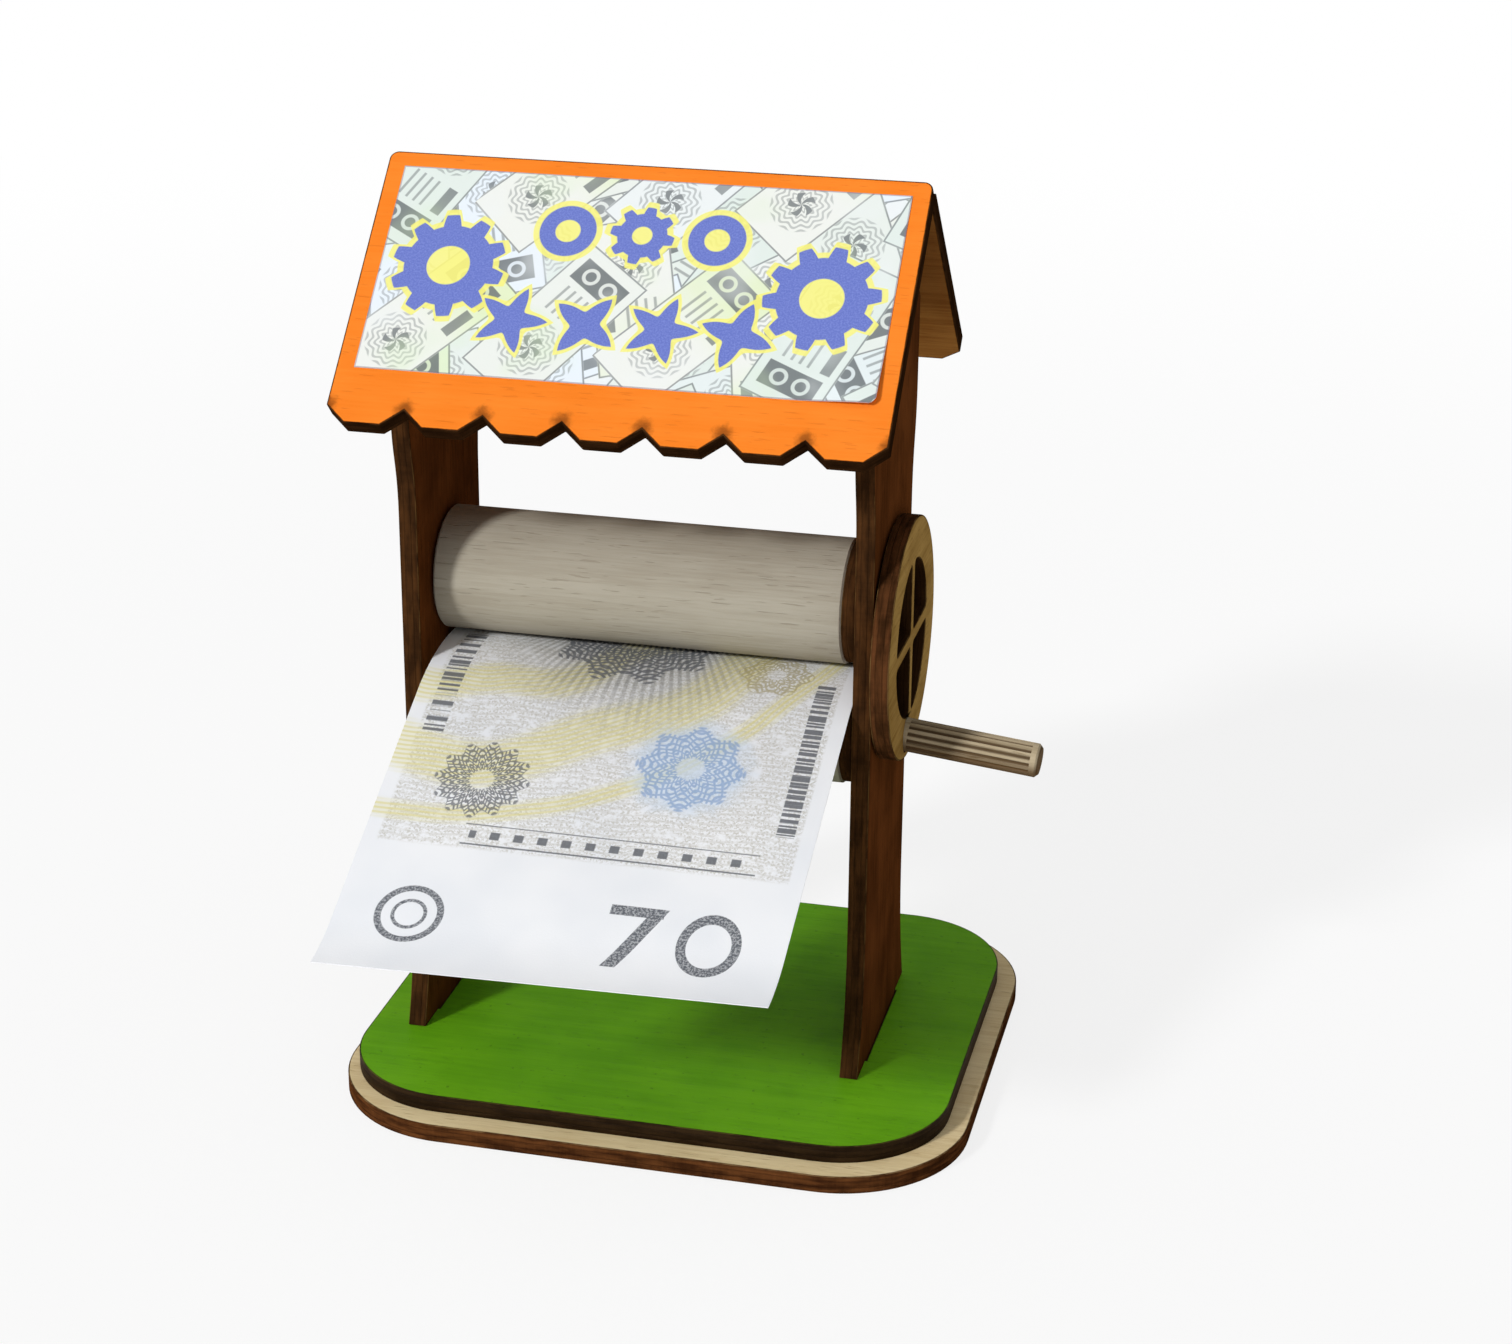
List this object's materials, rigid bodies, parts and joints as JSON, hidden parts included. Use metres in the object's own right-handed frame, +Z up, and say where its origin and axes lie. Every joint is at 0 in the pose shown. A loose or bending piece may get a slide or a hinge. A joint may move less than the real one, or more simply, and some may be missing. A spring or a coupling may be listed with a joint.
{
  "type": "hand cranked toy",
  "caption": "Hand cranked plywood toy: turning the crank on one upright makes a pair of rollers under a small pitched roof feed out a printed play note",
  "frame": {"origin": "middle of the underside of the lower base plate", "axes": "+Z up from the base plate to the ridge of the roof, -Y the front where the note comes out, +X the side of the crank"},
  "size_m": [0.1143, 0.129, 0.1552],
  "materials": {
    "bare_plywood": "bare plywood with a laser-burnt edge",
    "green_plywood": "plywood painted green on top, with a laser-burnt edge",
    "stained_plywood": "dark brown stained plywood",
    "orange_plywood": "plywood painted orange on its outer face, with a laser-burnt edge",
    "sign_paper": "printed paper",
    "turned_wood": "bare pale hardwood",
    "wheel_plywood": "tan plywood with a laser-burnt edge",
    "note_paper": "printed paper"
  },
  "bodies": {
    "base": {"base_lower": "bare_plywood", "base_upper": "green_plywood", "upright_left": "stained_plywood", "upright_right": "stained_plywood", "roof_front": "orange_plywood", "roof_rear": "orange_plywood", "roof_sign": "sign_paper"},
    "crank": {"roller_upper": "turned_wood", "spacer_upper": "wheel_plywood", "axle_upper_left": "turned_wood", "axle_upper_right": "turned_wood", "crank_wheel": "wheel_plywood", "crank_handle": "turned_wood"},
    "lower_roller": {"roller_lower": "turned_wood", "spacer_lower": "wheel_plywood", "axle_lower_left": "turned_wood", "axle_lower_right": "turned_wood"},
    "note": {"note": "note_paper"}
  },
  "joints": [
    {"name": "crank_spin", "type": "hinge", "parent": "base", "child": "crank", "pos_m": [0, 0, 0.0845], "axis": [1, 0, 0], "continuous": true},
    {"name": "lower_roller_spin", "type": "hinge", "parent": "base", "child": "lower_roller", "pos_m": [0, 0, 0.063], "axis": [1, 0, 0], "continuous": true},
    {"name": "note_feed", "type": "slide", "parent": "base", "child": "note", "axis": [0, -0.9986, 0.0523], "range_m": [0, 0.05]}
  ],
  "couplings": [
    {"joint": "lower_roller_spin", "follows": "crank_spin", "ratio": -1}
  ]
}
